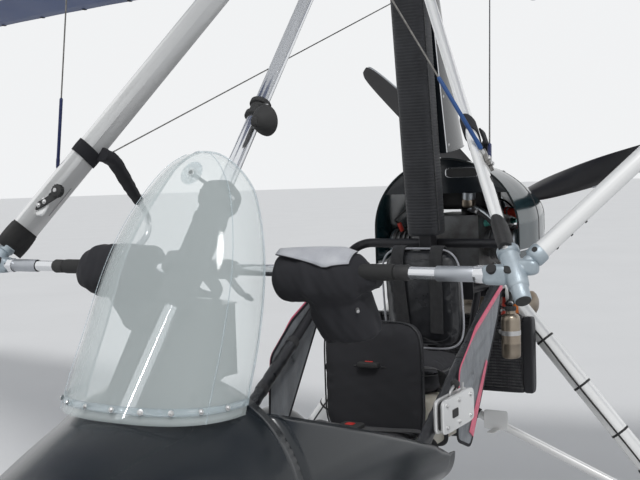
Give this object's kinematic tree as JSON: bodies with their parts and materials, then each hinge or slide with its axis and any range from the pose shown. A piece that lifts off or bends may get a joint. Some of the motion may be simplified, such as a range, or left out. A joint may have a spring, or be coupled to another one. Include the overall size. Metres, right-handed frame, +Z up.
{
  "type": "flexwing microlight trike",
  "caption": "Two-seat flexwing microlight trike with strutted wing, control frame, nose pod, windscreen, cowled engine, pusher propeller and three wheels.",
  "frame": {"origin": "on the ground below the middle of the aircraft's bounding box", "axes": "+X forward to the nose, +Y to port along the wing span, +Z up"},
  "size_m": [3.6, 8.6, 2.9663],
  "materials": {
    "white_paint": "gloss",
    "black_paint": "semi-gloss",
    "polished_alloy": "polished",
    "cast_alloy": "cast",
    "steel": "brushed",
    "black_gloss": "gloss",
    "black_plastic": "matte",
    "clear_screen": "clear",
    "black_foam": "matte",
    "tyre_rubber": "matte",
    "sail_cloth": "smooth",
    "black_cloth": "woven",
    "side_cloth": "sheer",
    "seat_cloth": "woven",
    "oil_can": "satin"
  },
  "bodies": {
    "trike": {"trike_keel": "black_paint", "mast": "black_paint", "mast_head": "cast_alloy", "mast_pad": "black_cloth", "mast_fairing": "black_gloss", "front_strut": "polished_alloy", "strut_pad": "black_foam", "strut_mirror": "black_plastic", "pod": "black_gloss", "windscreen": "clear_screen", "windscreen_stay": "black_plastic", "binnacle": "black_gloss", "seat_frame": "black_paint", "front_seat_cushion": "seat_cloth", "front_seat_back": "seat_cloth", "rear_seat_cushion": "seat_cloth", "rear_seat_back": "seat_cloth", "fuel_tank": "black_plastic", "side_panels": "side_cloth", "throttle_box": "white_paint", "engine_mount": "black_paint", "engine_block": "cast_alloy", "gearbox": "cast_alloy", "engine_cowl": "black_gloss", "exhaust": "steel", "oil_tank": "oil_can", "radiator": "black_paint", "rear_legs": "white_paint", "lower_arms": "white_paint", "rear_carriers": "steel", "rear_spats": "black_gloss"},
    "fork": {"front_fork": "black_paint", "front_mudguard": "black_gloss"},
    "front_wheel": {"front_tyre": "tyre_rubber", "front_rim": "cast_alloy"},
    "rear_wheel_left": {"rear_tyre_left": "tyre_rubber", "rear_rim_left": "cast_alloy"},
    "rear_wheel_right": {"rear_tyre_right": "tyre_rubber", "rear_rim_right": "cast_alloy"},
    "propeller": {"propeller_hub": "cast_alloy", "propeller_blades": "black_plastic"},
    "hang_block": {"hang_block": "steel"},
    "wing": {"wing_keel": "polished_alloy", "sail_left": "sail_cloth", "sail_right": "sail_cloth", "upright_left": "white_paint", "upright_right": "white_paint", "basebar": "polished_alloy", "corner_fittings": "cast_alloy", "wing_struts": "white_paint", "frame_head": "cast_alloy", "hang_bracket": "cast_alloy", "bar_grips": "black_foam", "bar_strap": "black_foam", "hand_mitts": "black_cloth", "training_bars": "polished_alloy", "upright_bracket": "black_plastic", "front_wires": "steel", "rear_wires": "steel"}
  },
  "joints": [
    {"name": "steering", "type": "hinge", "parent": "trike", "child": "fork", "pos_m": [1.38, 0, 0.485], "axis": [-0.2588, 0, 0.9659], "range_deg": [-30, 30]},
    {"name": "front_wheel_spin", "type": "hinge", "parent": "fork", "child": "front_wheel", "pos_m": [1.42, 0, 0.178], "axis": [0, 1, 0], "continuous": true},
    {"name": "rear_left_spin", "type": "hinge", "parent": "trike", "child": "rear_wheel_left", "pos_m": [-0.64, 0.85, 0.2], "axis": [0, 1, 0], "continuous": true},
    {"name": "rear_right_spin", "type": "hinge", "parent": "trike", "child": "rear_wheel_right", "pos_m": [-0.64, -0.85, 0.2], "axis": [0, 1, 0], "continuous": true},
    {"name": "propeller_spin", "type": "hinge", "parent": "trike", "child": "propeller", "pos_m": [-1.1, 0, 1.24], "axis": [1, 0, 0], "continuous": true},
    {"name": "wing_pitch", "type": "hinge", "parent": "trike", "child": "hang_block", "pos_m": [-0.12, 0, 2.372], "axis": [0, 1, 0], "range_deg": [0, 18]},
    {"name": "wing_roll", "type": "hinge", "parent": "hang_block", "child": "wing", "pos_m": [-0.12, 0, 2.41], "axis": [1, 0, 0], "range_deg": [-15, 15]}
  ]
}
